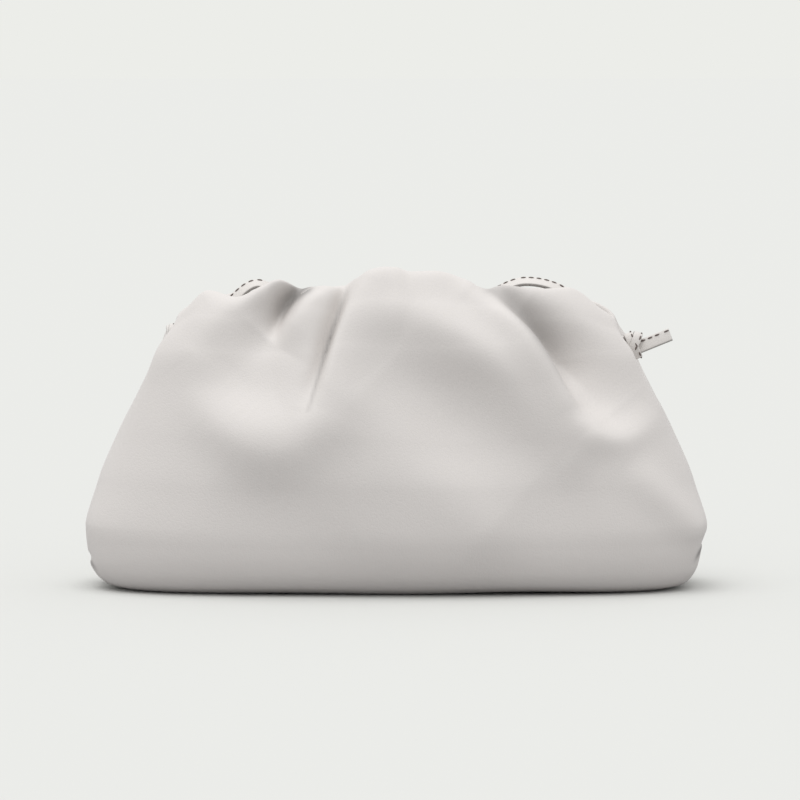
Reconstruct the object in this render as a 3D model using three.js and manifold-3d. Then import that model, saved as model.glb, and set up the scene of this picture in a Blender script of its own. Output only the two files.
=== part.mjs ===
// A soft leather pouch bag: two gathered panels sewn at the sides and under the base,
// two leather-covered frame bars in the mouth, and a thin strap knotted outside each end.
// Millimetres, +Z up, the front faces -Y. The origin is under the middle of the base.
import * as THREE from "three";
import { mergeVertices } from "three/addons/utils/BufferGeometryUtils.js";
import Module from "manifold-3d";

const wasm = await Module();
wasm.setup();

// Bag
const bagWidth = 300; // end to end at the widest, just above the base
const bagDepth = 120; // front to back at the widest
const bagHeight = 155.5; // table to the highest fold of the front
const leatherWall = 2;
const sewnGap = 0.3; // between pieces that are sewn to or lie on each other

// Mouth
const mouthLength = 208;
const mouthHeight = 122; // table to the top of the frame bars
const mouthOpening = 8; // clear way between the two frame bars
const barThickness = 5;
const barHeight = 10;
const barEndRoom = 10; // from a bar's end to the end of the mouth
const barCorner = 1.6;
const lipOverhang = 1; // how far a bar reaches below the leather sewn to it

// Strap
const strapWidth = 6.4;
const strapThickness = 2;
const strapDrop = 3.5; // from the top of the bars down to the strap where it leaves the bag
const slitClearance = 0.8;
const slitReach = 40; // long enough to pass through every layer of leather at an end
const edgeSoftening = 0.3; // as a share of the strap's thickness
const slitRun = 10; // straight length of strap inside the mouth's end
const knotHeight = 13.5;
const knotDepth = 9;
const turnWidth = 4.6; // of each turn of the knot

// Mesh fineness
const frontColumns = 52;
const backColumns = 28;
const endCrowding = 1.5; // more than 1 draws the columns together towards the side seams
const strapStep = 6; // between sections of the strap
const knotPieces = 12;
const strokePieces = 10;
const narrowestFold = 9; // a narrower fold is drawn this wide and as much shallower

const halfWidth = bagWidth / 2;
const halfDepth = bagDepth / 2;
const mouthHalf = mouthLength / 2;
const slotHalf = mouthOpening / 2 + barThickness + 2 * sewnGap;
const lipLevel = (mouthHeight - barHeight + lipOverhang) / mouthHeight;
const strapHeight = mouthHeight - strapDrop;

// A table from its column names and its rows.
function table(columns, rows) {
  return rows.map((row) => Object.fromEntries(columns.map((column, i) => [column, row[i]])));
}

// Rings round the bag, from the seam under the base, up the side, over the gathered crest and
// down into the mouth. level: height as a share of mouthHeight. lift: share of the crest's rise.
// flare: 0 at the mouth's end, 1 at the widest point. tuck: how far the side seam is drawn in, as
// a share of the ring's reach. depth and slot: shares of half the bag's depth and of half the
// mouth's width. square: 2 is an ellipse, more is boxier. notch: how far the slanting corner seam
// is drawn in at the ends, as a share of the ring's reach. tilt: 1 on that seam.
// steps: mesh rows up to the next ring.
const sectionColumns = ["level", "lift", "flare", "tuck", "depth", "slot", "square", "notch", "tilt"];
const sections = table(["name", ...sectionColumns, "steps"], [
  ["bottom_seam", 0, 0, 0.32, 0, 0, 0, 3.2, 0, 0, 1],
  ["base_edge", 0, 0, 0.48, 0, 0.6, 0, 3.4, 0, 0, 1],
  ["base_roll", 0.018, 0, 0.76, 0, 0.76, 0, 3.2, 0, 0, 1],
  ["low_roll", 0.07, 0, 0.9, 0, 0.875, 0, 3, 0, 0.3, 1],
  ["under_seam", 0.128, 0, 0.95, 0, 0.93, 0, 2.9, 0, 1, 1],
  ["corner_seam", 0.156, 0, 0.965, 0, 0.948, 0, 2.85, 0.02, 1, 1],
  ["over_seam", 0.184, 0, 0.978, 0, 0.962, 0, 2.8, 0, 1, 1],
  ["widest", 0.25, 0, 1, 0, 0.985, 0, 2.7, 0, 0, 2],
  ["low_side", 0.426, 0, 0.865, 0, 1, 0, 2.45, 0, 0, 3],
  ["mid_side", 0.615, 0, 0.715, 0.02, 0.93, 0, 2.3, 0, 0, 3],
  ["high_side", 0.8, 0, 0.58, 0.07, 0.79, 0, 2.2, 0, 0, 3],
  ["neck", 0.93, 0.16, 0.47, 0.16, 0.66, 0, 2.2, 0, 0, 2],
  ["shoulder", 1, 0.6, 0.3, 0.13, 0.51, 0, 2.3, 0, 0, 2],
  ["crest", 1.04, 1, 0.19, 0.08, 0.33, 0, 2.6, 0, 0, 2],
  ["inner_slope", 1.03, 0.6, 0.02, 0.06, 0.05, 1, 6, 0, 0, 2],
  ["lip", 1.01, 0.1, 0, 0.06, 0, 1, 24, 0, 0, 1],
  ["lip_edge", lipLevel, 0, 0, 0.06, 0, 1, 24, 0, 0, 0],
]);
const tuckStart = 0.7; // across the panel, where the tuck towards the side seam begins
const notchStart = 0.82; // across the panel, where the corner seam begins
const cornerSeamTilt = 4; // the corner seam is this much higher at the right, lower at the left
const seamEndTilt = 5; // the tilt is kept near the ends, more so with a higher power
const crestRow = sections.findIndex((row) => row.name === "crest");
const crestEnd = sections[crestRow].level * mouthHeight;

// The top line of each panel. along: share of the crest's half length, from the left end.
// rise: share of the way from the crest's end up to bagHeight.
const crestColumns = ["name", "along", "rise"];
const frontCrest = table(crestColumns, [
  ["left_end", -1, 0],
  ["left_end_rise", -0.95, 0.07],
  ["left_shoulder", -0.88, 0.33],
  ["left_hump", -0.8, 0.52],
  ["left_saddle", -0.68, 0.49],
  ["left_fold_side", -0.57, 0.67],
  ["left_fold", -0.5, 0.78],
  ["pit", -0.39, 0.58],
  ["middle_fold", -0.31, 0.67],
  ["crease", -0.21, 0.65],
  ["peak_side", -0.1, 0.93],
  ["peak", -0.05, 1],
  ["peak_end", 0, 0.99],
  ["dome_dip", 0.06, 0.92],
  ["dome", 0.16, 0.93],
  ["dome_fall", 0.3, 0.78],
  ["overlap", 0.385, 0.6],
  ["right_fold", 0.45, 0.67],
  ["right_dip", 0.62, 0.61],
  ["right_hump", 0.73, 0.63],
  ["right_shoulder", 0.88, 0.27],
  ["right_end_rise", 0.95, 0.07],
  ["right_end", 1, 0],
]);
const backCrest = table(crestColumns, [
  ["left_end", -1, 0],
  ["left_shoulder", -0.84, 0.36],
  ["left_fold", -0.62, 0.52],
  ["left_dip", -0.46, 0.42],
  ["tucked_fold", -0.22, 0.6],
  ["middle_dip", -0.05, 0.55],
  ["middle_fold", 0.14, 0.66],
  ["right_dip", 0.36, 0.44],
  ["right_fold", 0.6, 0.54],
  ["right_shoulder", 0.84, 0.36],
  ["right_end", 1, 0],
]);

// Folds and hollows, each a stroke along a curved line seen from outside the panel.
// from, bend, to: across as shares of half the width and up as shares of bagHeight.
// wide: at its start and end, as shares of bagHeight. left: how many times wider it is on its
// left-hand side. out: how far it stands out, or in where negative, at its start, middle and end,
// as shares of bagDepth. lean: how far its middle tips to its right-hand side, as a share of bagDepth.
const foldColumns = ["name", "from", "bend", "to", "wide", "left", "out", "lean"];
const frontFolds = table(foldColumns, [
  ["right_hollow", [0.4, 0.88], [0.56, 0.77], [0.69, 0.57], [0.05, 0.06], 2.4, [-0.03, -0.115, -0.05], 0],
  ["overlap_crease", [0.37, 0.9], [0.5, 0.78], [0.57, 0.6], [0.04, 0.045], 1.5, [-0.02, -0.055, -0.01], 0],
  ["dome_ridge", [0.04, 0.9], [0.36, 0.79], [0.6, 0.47], [0.09, 0.08], 1, [0.03, 0.07, 0.03], 0],
  ["overlap_edge", [0.27, 0.935], [0.5, 0.75], [0.63, 0.52], [0.045, 0.045], 1, [0.02, 0.05, 0.01], -0.05],
  ["diagonal_trough", [-0.1, 0.8], [0.22, 0.66], [0.58, 0.32], [0.06, 0.14], 0.8, [-0.02, -0.06, -0.035], 0],
  ["left_bowl", [-0.36, 0.86], [-0.43, 0.78], [-0.5, 0.7], [0.08, 0.12], 1.2, [-0.03, -0.045, -0.04], 0],
  ["left_pit", [-0.31, 0.88], [-0.37, 0.84], [-0.46, 0.76], [0.06, 0.08], 1.3, [-0.02, -0.08, -0.03], 0],
  ["left_fold_edge", [-0.35, 0.96], [-0.44, 0.92], [-0.56, 0.78], [0.06, 0.06], 1, [0.01, 0.04, 0.02], -0.01],
  ["left_ledge", [-0.68, 0.72], [-0.4, 0.33], [-0.2, 0.62], [0.09, 0.09], 1.4, [0.01, 0.055, 0.03], 0],
  ["crease", [-0.165, 0.96], [-0.21, 0.78], [-0.3, 0.6], [0.05, 0.06], 0.5, [-0.03, -0.045, -0.02], 0],
  ["crease_ridge", [-0.11, 0.96], [-0.165, 0.78], [-0.26, 0.56], [0.04, 0.045], 2.6, [0.02, 0.045, 0.02], 0.03],
  ["left_belly", [-0.6, 0.35], [-0.37, 0.22], [-0.15, 0.3], [0.18, 0.18], 1, [-0.03, -0.05, -0.025], 0],
  ["belly_lobe", [-0.1, 0.66], [0.08, 0.44], [0.28, 0.22], [0.12, 0.1], 1, [0, 0.03, 0.02], 0],
  ["right_rim", [0.58, 0.6], [0.69, 0.42], [0.83, 0.57], [0.05, 0.05], 1.5, [0.015, 0.04, 0.01], 0],
  ["belly_lip", [-0.14, 0.28], [0.08, 0.16], [0.34, 0.2], [0.11, 0.11], 2, [0.01, 0.06, 0.03], 0],
  ["right_corner", [0.73, 0.4], [0.85, 0.29], [0.95, 0.2], [0.06, 0.05], 1, [0.01, 0.025, 0.02], 0],
]);
const backFolds = table(foldColumns, [
  ["left_hollow", [-0.4, 0.9], [-0.46, 0.72], [-0.6, 0.5], [0.06, 0.13], 1, [-0.05, -0.075, -0.02], 0],
  ["left_ridge", [-0.24, 0.9], [-0.32, 0.7], [-0.5, 0.4], [0.08, 0.1], 1, [0.05, 0.05, 0.02], 0],
  ["middle_hollow", [-0.05, 0.9], [0, 0.7], [0.1, 0.46], [0.06, 0.13], 1, [-0.05, -0.06, -0.02], 0],
  ["middle_ridge", [0.12, 0.9], [0.16, 0.7], [0.3, 0.4], [0.08, 0.12], 1, [0.05, 0.05, 0.02], 0],
  ["right_hollow", [0.32, 0.9], [0.42, 0.72], [0.5, 0.5], [0.06, 0.12], 1, [-0.05, -0.075, -0.02], 0],
  ["right_ridge", [0.5, 0.88], [0.66, 0.68], [0.7, 0.42], [0.09, 0.1], 1, [0.03, 0.04, 0.02], 0],
]);

// The strap's way through the valley above the bars, from left to right. across: share of half
// the width. deep: share of half the depth, to the back. up: share of bagHeight.
const strapRoute = table(["name", "across", "deep", "up"], [
  ["left_bar_end", -0.59, 0.01, 0.798],
  ["left_rise", -0.54, 0.04, 0.872],
  ["left_arch", -0.45, 0.07, 0.938],
  ["left_fall", -0.34, 0.1, 0.885],
  ["left_valley", -0.2, 0.11, 0.823],
  ["middle", 0, 0.11, 0.813],
  ["right_valley", 0.18, 0.11, 0.823],
  ["right_fall", 0.3, 0.1, 0.885],
  ["right_arch", 0.42, 0.07, 0.945],
  ["right_arch_end", 0.53, 0.05, 0.918],
  ["right_rise", 0.565, 0.03, 0.86],
  ["right_bar_end", 0.595, 0.01, 0.798],
]);
// The two knots. across, deep and up place the middle as above. tail: length from the middle to
// the cut end, in its direction tailWay. turnTilt and lean are angles.
const knotTable = table(["name", "across", "deep", "up", "tail", "tailWay", "turnTilt", "lean"], [
  ["left", -0.734, 0.01, 0.775, 14, [-0.3, 1, 0.1], 0.4, 0],
  ["right", 0.765, -0.03, 0.764, 19.5, [0.9, -0.12, 0.42], 0.4, 0.2],
]);

// A smooth curve through [at, value] points that never overshoots them.
function smoothCurve(points) {
  const gap = (i) => points[i + 1][0] - points[i][0];
  const rate = (i) => (points[i + 1][1] - points[i][1]) / gap(i);
  const slope = points.map((_, i) => {
    if (i === 0) return rate(0);
    if (i === points.length - 1) return rate(i - 1);
    if (rate(i - 1) * rate(i) <= 0) return 0;
    return (gap(i - 1) + gap(i)) / (gap(i - 1) / rate(i - 1) + gap(i) / rate(i));
  });
  return (at) => {
    let i = points.findIndex((p, n) => n > 0 && at <= p[0]) - 1;
    if (i < 0) i = at <= points[0][0] ? 0 : points.length - 2;
    const h = gap(i);
    const s = THREE.MathUtils.clamp((at - points[i][0]) / h, 0, 1);
    return (
      points[i][1] * (1 + 2 * s) * (1 - s) ** 2 +
      points[i + 1][1] * s * s * (3 - 2 * s) +
      h * (slope[i] * s * (1 - s) ** 2 - slope[i + 1] * s * s * (1 - s))
    );
  };
}

const sectionCurves = sectionColumns.map((column) => smoothCurve(sections.map((row, i) => [i, row[column]])));
const sectionCache = new Map();
function sectionAt(row) {
  if (!sectionCache.has(row)) {
    sectionCache.set(row, Object.fromEntries(sectionColumns.map((column, i) => [column, sectionCurves[i](row)])));
  }
  return sectionCache.get(row);
}

// Each stroke as short straight pieces, with its width and height at each point.
function strokePoints(fold) {
  const at = (pair) => new THREE.Vector2(pair[0] * halfWidth, pair[1] * bagHeight);
  const curve = new THREE.QuadraticBezierCurve(at(fold.from), at(fold.bend), at(fold.to));
  const outCurve = smoothCurve(fold.out.map((value, i) => [i / 2, value * bagDepth]));
  return curve.getPoints(strokePieces).map((point, i) => {
    const s = i / strokePieces;
    return { x: point.x, y: point.y, wide: THREE.MathUtils.lerp(...fold.wide, s) * bagHeight, out: outCurve(s) };
  });
}

// How far one stroke moves the place x, y of the panel: outwards, and sideways where it leans.
function strokeAt(stroke, x, y) {
  const best = { distance: Infinity, piece: 0, s: 0 };
  for (let i = 0; i < strokePieces; i++) {
    const a = stroke.points[i];
    const b = stroke.points[i + 1];
    const dx = b.x - a.x;
    const dy = b.y - a.y;
    const s = THREE.MathUtils.clamp(((x - a.x) * dx + (y - a.y) * dy) / (dx * dx + dy * dy), 0, 1);
    const awayX = x - a.x - s * dx;
    const awayY = y - a.y - s * dy;
    const distance = Math.hypot(awayX, awayY);
    if (distance < best.distance) {
      const turned = (dx * awayY - dy * awayX) / Math.max(distance * Math.hypot(dx, dy), 1e-9);
      Object.assign(best, { distance, piece: i, s, turned });
    }
  }
  const a = stroke.points[best.piece];
  const b = stroke.points[best.piece + 1];
  const sideways = 1 + ((stroke.left - 1) * ((best.turned ?? 0) + 1)) / 2;
  const width = THREE.MathUtils.lerp(a.wide, b.wide, best.s) * sideways;
  const drawn = Math.max(width, narrowestFold);
  const strength = (Math.exp(-((best.distance / drawn) ** 2)) * width) / drawn;
  const bow = Math.sin(((best.piece + best.s) / strokePieces) * Math.PI);
  const lean = (stroke.lean * strength * bow) / Math.hypot(b.x - a.x, b.y - a.y);
  return {
    out: THREE.MathUtils.lerp(a.out, b.out, best.s) * strength,
    shiftX: -(b.y - a.y) * lean,
    shiftZ: (b.x - a.x) * lean,
  };
}

// One panel's outside surface. side is -1 for the front and 1 for the back.
function panelSurface(side, crestTable, folds) {
  const crestHalf = mouthHalf + sections[crestRow].flare * (halfWidth - mouthHalf);
  const crestCurve = smoothCurve(
    crestTable.map((row) => [row.along * crestHalf, row.rise * (bagHeight - crestEnd)]),
  );
  const strokes = folds.map((fold) => ({
    points: strokePoints(fold),
    left: fold.left,
    lean: -fold.lean * bagDepth,
  }));

  // The plain ring surface before any folds. across runs from -1 to 1, row from the base to the lip.
  function plain(across, row) {
    const value = sectionAt(row);
    const reachX = mouthHalf + value.flare * (halfWidth - mouthHalf);
    const reachY = value.depth * halfDepth + value.slot * slotHalf;
    const share = Math.sin((across * Math.PI) / 2);
    const tuck = value.tuck * THREE.MathUtils.smoothstep(Math.abs(across), tuckStart, 1);
    const notch = value.notch * THREE.MathUtils.smoothstep(Math.abs(across), notchStart, 1);
    const y = side * reachY * (1 - Math.abs(share) ** value.square) ** (1 / value.square);
    const z = value.level * mouthHeight + value.lift * crestCurve(share * crestHalf);
    const tilt = value.tilt * cornerSeamTilt * share ** seamEndTilt;
    return new THREE.Vector3(reachX * share * (1 - tuck - notch), y, z + tilt);
  }

  function plainNormal(across, row) {
    const step = 0.01;
    const last = sections.length - 1;
    const alongX = plain(Math.min(across + step, 1), row).sub(plain(Math.max(across - step, -1), row));
    const alongZ = plain(across, Math.min(row + step, last)).sub(plain(across, Math.max(row - step, 0)));
    return alongX.cross(alongZ).multiplyScalar(-side).normalize();
  }

  // The folded surface. The inside wall of the crest is moved along with the outside.
  return (across, row) => {
    const point = plain(across, row);
    const height = point.z;
    const level = new THREE.Vector3(0, side, 0); // the whole crest moves in or out as one
    const outwards = plainNormal(across, row).lerp(level, THREE.MathUtils.smoothstep(row, crestRow - 2, crestRow));
    outwards.normalize();
    const x = point.x;
    const fade = (1 - Math.abs(across) ** 8) * THREE.MathUtils.smoothstep(sections.length - 1 - row, 1, 2.5);
    for (const stroke of strokes) {
      const { out, shiftX, shiftZ } = strokeAt(stroke, x, height);
      point.addScaledVector(outwards, out * fade);
      point.x += shiftX * fade;
      point.z += shiftZ * fade;
    }
    point.y = side * Math.max(side * point.y, sewnGap / 2);
    point.z = Math.max(point.z, 0);
    return point;
  };
}

// Rows of the mesh: every section, with the given number of steps to the next one.
const meshRows = sections.flatMap((row, i) => Array.from({ length: row.steps }, (_, n) => i + n / row.steps));
meshRows.push(sections.length - 1);

// A sheet of the given thickness from a grid of outside points, as one closed body.
function sheetGeometry(outside, thickness, facing) {
  const rows = outside.length;
  const columns = outside[0].length;
  const inside = outside.map((line, i) =>
    line.map((point, j) => {
      const before = outside[Math.max(i - 1, 0)][j];
      const after = outside[Math.min(i + 1, rows - 1)][j];
      const alongRow = line[Math.min(j + 1, columns - 1)].clone().sub(line[Math.max(j - 1, 0)]);
      const normal = alongRow.cross(after.clone().sub(before)).multiplyScalar(facing);
      if (j === 0 || j === columns - 1 || i === 0) normal.y = 0; // a sewn edge stays in the seam's plane
      return point.clone().addScaledVector(normal.normalize(), -thickness);
    }),
  );
  const at = (layer, i, j) => (layer * rows + i) * columns + j;
  const faces = [];
  const quad = (a, b, c, d) => faces.push(...(facing > 0 ? [a, b, d, b, c, d] : [a, d, b, b, d, c]));
  for (let i = 0; i < rows - 1; i++) {
    for (let j = 0; j < columns - 1; j++) {
      quad(at(0, i, j), at(0, i, j + 1), at(0, i + 1, j + 1), at(0, i + 1, j));
      quad(at(1, i, j), at(1, i + 1, j), at(1, i + 1, j + 1), at(1, i, j + 1));
    }
    quad(at(0, i, 0), at(0, i + 1, 0), at(1, i + 1, 0), at(1, i, 0));
    quad(at(0, i, columns - 1), at(1, i, columns - 1), at(1, i + 1, columns - 1), at(0, i + 1, columns - 1));
  }
  for (let j = 0; j < columns - 1; j++) {
    quad(at(0, 0, j), at(1, 0, j), at(1, 0, j + 1), at(0, 0, j + 1));
    quad(at(0, rows - 1, j), at(0, rows - 1, j + 1), at(1, rows - 1, j + 1), at(1, rows - 1, j));
  }
  const position = [outside, inside].flat(2).flatMap((point) => point.toArray());
  return new THREE.BufferGeometry()
    .setAttribute("position", new THREE.Float32BufferAttribute(position, 3))
    .setIndex(faces);
}

function toSolid(geometry) {
  const bare = geometry.clone();
  bare.deleteAttribute("normal");
  bare.deleteAttribute("uv");
  const merged = mergeVertices(bare, 1e-4);
  return new wasm.Manifold(
    new wasm.Mesh({
      numProp: 3,
      vertProperties: new Float32Array(merged.attributes.position.array),
      triVerts: new Uint32Array(merged.index.array),
    }),
  );
}

function toGeometry(solid) {
  const mesh = solid.getMesh();
  return new THREE.BufferGeometry()
    .setAttribute("position", new THREE.Float32BufferAttribute(mesh.vertProperties, 3))
    .setIndex(new THREE.Uint32BufferAttribute(mesh.triVerts, 1));
}

// The slit that the side seam leaves open for the strap, at the right (1) or left (-1) end.
function strapSlit(end) {
  const slit = new THREE.BoxGeometry(
    slitReach,
    strapThickness + 2 * slitClearance,
    strapWidth + 2 * slitClearance,
  );
  slit.translate(end * mouthHalf, 0, strapHeight);
  return toSolid(slit);
}

function panelGeometry(side, columns, crestTable, folds) {
  const surface = panelSurface(side, crestTable, folds);
  const across = Array.from({ length: columns + 1 }, (_, j) => {
    const even = (2 * j) / columns - 1;
    const share = Math.sign(even) * (1 - (1 - Math.abs(even)) ** endCrowding);
    return (Math.asin(share) * 2) / Math.PI;
  });
  const grid = meshRows.map((row) => across.map((place) => surface(place, row)));
  const sheet = toSolid(sheetGeometry(grid, leatherWall, -side));
  return toGeometry(sheet.subtract(strapSlit(-1)).subtract(strapSlit(1)));
}

// A frame bar under its leather cover: a long bar with rounded edges.
function barGeometry() {
  const w = barThickness / 2;
  const h = barHeight / 2;
  const shape = new THREE.Shape();
  shape.moveTo(-w + barCorner, -h);
  shape.lineTo(w - barCorner, -h);
  shape.absarc(w - barCorner, -h + barCorner, barCorner, -Math.PI / 2, 0);
  shape.absarc(w - barCorner, h - barCorner, barCorner, 0, Math.PI / 2);
  shape.absarc(-w + barCorner, h - barCorner, barCorner, Math.PI / 2, Math.PI);
  shape.absarc(-w + barCorner, -h + barCorner, barCorner, Math.PI, Math.PI * 1.5);
  const length = mouthLength - 2 * barEndRoom;
  const bar = new THREE.ExtrudeGeometry(shape, { depth: length, bevelEnabled: false, curveSegments: 3 });
  bar.translate(0, 0, -length / 2);
  bar.rotateX(Math.PI / 2);
  bar.rotateZ(Math.PI / 2);
  return bar;
}

// A flat band with softened edges along a smooth line through points, its faces turned to the
// front and back and leaning forward at the top by lean.
function bandSolid(points, lean) {
  const curve = new THREE.CatmullRomCurve3(points, false, "centripetal");
  const pieces = Math.ceil(curve.getLength() / strapStep);
  const w = strapWidth / 2;
  const t = strapThickness / 2;
  const e = strapThickness * edgeSoftening;
  const outline = [[w, t - e], [w - e, t], [e - w, t], [-w, t - e], [-w, e - t], [e - w, -t], [w - e, -t], [w, e - t]];
  const facing = new THREE.Vector3(0, -Math.cos(lean), -Math.sin(lean));
  const position = [];
  const faces = [];
  for (let i = 0; i <= pieces; i++) {
    const centre = curve.getPointAt(i / pieces);
    const tangent = curve.getTangentAt(i / pieces);
    const up = tangent.clone().cross(facing).multiplyScalar(-1).normalize();
    const front = up.clone().cross(tangent).normalize();
    for (const [a, b] of outline) {
      position.push(...centre.clone().addScaledVector(up, a).addScaledVector(front, b).toArray());
    }
  }
  const n = outline.length;
  for (let i = 0; i < pieces; i++) {
    for (let j = 0; j < n; j++) {
      const a = i * n + j;
      const b = i * n + ((j + 1) % n);
      faces.push(a, b, b + n, a, b + n, a + n);
    }
  }
  const last = pieces * n;
  for (let j = 1; j < n - 1; j++) faces.push(0, j + 1, j, last, last + j, last + j + 1);
  const band = new THREE.BufferGeometry()
    .setAttribute("position", new THREE.Float32BufferAttribute(position, 3))
    .setIndex(faces);
  const solid = toSolid(band);
  return solid.volume() > 0 ? solid : toSolid(band.setIndex(faces.reverse()));
}

// A knot round the strap: two crossed turns over a filled middle.
function knotSolid(centre, turnTilt) {
  const t = strapThickness / 2;
  const w = turnWidth / 2;
  const profile = [[-t, -w], [t * 0.4, -w], [t, -w * 0.7], [t, w * 0.7], [t * 0.4, w], [-t, w], [-t, -w]];
  const radius = knotHeight / 2 - t;
  const turn = new THREE.LatheGeometry(profile.map(([r, h]) => new THREE.Vector2(radius + r, h)), knotPieces);
  turn.scale(1, 1, knotDepth / knotHeight);
  turn.rotateZ(Math.PI / 2);
  const middle = new THREE.SphereGeometry(1, knotPieces, knotPieces / 2);
  middle.scale(turnWidth * 0.6, knotDepth / 2 - t, knotHeight / 2 - t);
  let knot = toSolid(middle);
  for (const way of [-1, 1]) {
    const crossed = turn.clone().rotateX(Math.PI / 2).rotateY(way * turnTilt);
    knot = knot.add(toSolid(crossed));
  }
  return knot.translate(centre.toArray());
}

function strapGeometry() {
  const route = strapRoute.map(
    (row) => new THREE.Vector3(row.across * halfWidth, row.deep * halfDepth, row.up * bagHeight),
  );
  const slit = (end) => [0, -slitRun].map((out) => new THREE.Vector3(end * (mouthHalf + out), 0, strapHeight));
  const [leftOut, leftIn] = slit(-1);
  const [rightOut, rightIn] = slit(1);
  const knots = knotTable.map((row) => new THREE.Vector3(row.across * halfWidth, row.deep * halfDepth, row.up * bagHeight));
  const run = [knots[0], leftOut, leftIn, ...route, rightIn, rightOut, knots[1]];
  let strap = bandSolid(run, 0);
  knotTable.forEach((row, i) => {
    const way = new THREE.Vector3(...row.tailWay).normalize();
    const tail = [0, 0.5, 1].map((s) => knots[i].clone().addScaledVector(way, s * row.tail));
    strap = strap.add(knotSolid(knots[i], row.turnTilt)).add(bandSolid(tail, row.lean));
  });
  return toGeometry(strap);
}

export const bag = new THREE.Group();
bag.name = "pouch_bag";
const leather = new THREE.MeshStandardMaterial({ color: 0xdedad5, roughness: 0.55, metalness: 0 });

function addMesh(name, geometry, material) {
  geometry.computeVertexNormals();
  const mesh = new THREE.Mesh(geometry, material);
  mesh.name = name;
  bag.add(mesh);
  return mesh;
}

addMesh("front_panel", panelGeometry(-1, frontColumns, frontCrest, frontFolds), leather.clone());
addMesh("back_panel", panelGeometry(1, backColumns, backCrest, backFolds), leather.clone());
for (const [name, side] of [["front_mouth_bar", -1], ["back_mouth_bar", 1]]) {
  const bar = addMesh(name, barGeometry(), leather.clone());
  bar.position.set(0, (side * (mouthOpening + barThickness)) / 2, mouthHeight - barHeight / 2);
}

addMesh("strap", strapGeometry(), leather.clone());

// The folds reach further on one face than on the other: the origin goes under the middle.
const middle = new THREE.Box3().setFromObject(bag).getCenter(new THREE.Vector3());
for (const mesh of bag.children) mesh.position.sub(new THREE.Vector3(middle.x, middle.y, 0));

export default bag;
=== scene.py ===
import math
import bpy
import numpy as np
from mathutils import Matrix, Vector


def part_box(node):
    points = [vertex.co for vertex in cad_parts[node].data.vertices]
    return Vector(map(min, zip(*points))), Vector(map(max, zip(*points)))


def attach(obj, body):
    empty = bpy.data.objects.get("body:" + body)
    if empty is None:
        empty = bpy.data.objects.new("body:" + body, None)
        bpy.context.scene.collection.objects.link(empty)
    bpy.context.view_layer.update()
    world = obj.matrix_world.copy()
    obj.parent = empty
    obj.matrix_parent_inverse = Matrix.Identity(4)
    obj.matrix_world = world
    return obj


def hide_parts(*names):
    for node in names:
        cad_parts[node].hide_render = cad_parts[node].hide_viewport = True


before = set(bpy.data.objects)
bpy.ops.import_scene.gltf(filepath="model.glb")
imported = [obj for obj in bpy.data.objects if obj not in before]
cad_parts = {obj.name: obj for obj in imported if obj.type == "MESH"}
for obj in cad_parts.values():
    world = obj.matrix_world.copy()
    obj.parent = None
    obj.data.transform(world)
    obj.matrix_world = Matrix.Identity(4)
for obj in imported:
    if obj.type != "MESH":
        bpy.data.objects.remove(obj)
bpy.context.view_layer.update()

# Bag, in metres
MM = 0.001
BAG_WIDTH = 300 * MM
BAG_DEPTH = 120 * MM
BAG_HEIGHT = 155.5 * MM
LEATHER_WALL = 1.6 * MM
SEWN_GAP = 0.3 * MM
MOUTH_LENGTH = 208 * MM
MOUTH_HEIGHT = 122 * MM
MOUTH_OPENING = 8 * MM
BAR_THICKNESS = 5 * MM
BAR_HEIGHT = 10 * MM
BAR_CORNER = 1.6 * MM
LIP_OVERHANG = 1 * MM
TUCK_START = 0.7  # across a panel, where the tuck towards the side seam begins
NOTCH_START = 0.88  # across a panel, where the corner seam begins
CORNER_SEAM_TILT = 4 * MM  # how much higher the right end of that seam lies, and the left end lower
CORNER_SEAM_POWER = 21  # odd, so the two ends go opposite ways, and high, so only the ends do
SEAM_DIP = 1.6 * MM  # how far the leather is drawn in along a side seam
DIP_START = 0.985  # across a panel, where that dip begins
DIP_ROWS = (1, 3)  # rows of SECTIONS over which it begins, above the base

# How far a panel's folds reach
SIDE_FADE_POWER = 8  # high, so that they keep their height up to near the side seams
LIP_FADE_ROWS = (1, 2.5)  # rows of SECTIONS, back from the last one, over which they start
CREST_TURN_ROWS = 2  # rows of SECTIONS below the crest over which their push turns level

# Strap and its stitches, in metres
STRAP_WIDTH = 6.4 * MM
STRAP_THICKNESS = 2 * MM
STRAP_HEIGHT = MOUTH_HEIGHT - 3.5 * MM  # where it leaves the bag
STRAP_LEAN = 1.05  # how far its top edge leans back between the slits, in radians
LEAN_RUN = 20 * MM  # length at each end over which that lean grows
SLIT_RUN = 10 * MM  # straight length of strap inside the mouth's end
KNOT_HEIGHT = 13.5 * MM
KNOT_DEPTH = 9 * MM
TURN_WIDTH = 4.6 * MM
TURN_SPREAD = 0.35 * MM  # how much larger the second turn of a knot is than the first
CORE_REACH = TURN_WIDTH * 0.6  # from the middle of a knot's filling to its ends
TAIL_DROP = 1.8 * MM  # from a knot's middle down to where its tail leaves
STITCH_PITCH = 3.8 * MM
STITCH_LENGTH = 2.7 * MM
STITCH_THICKNESS = 0.9 * MM
STITCH_INSET = 1.25 * MM  # from the strap's edge to the row of stitches
TURN_STITCH_INSET = STITCH_INSET * 0.7
TURN_STITCHES = 8  # round each turn of a knot
BAND_WIDE_POWER = 0.3  # below 1, so that a band's cut is a box with soft edges
BAND_THICK_POWER = 0.6

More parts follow.
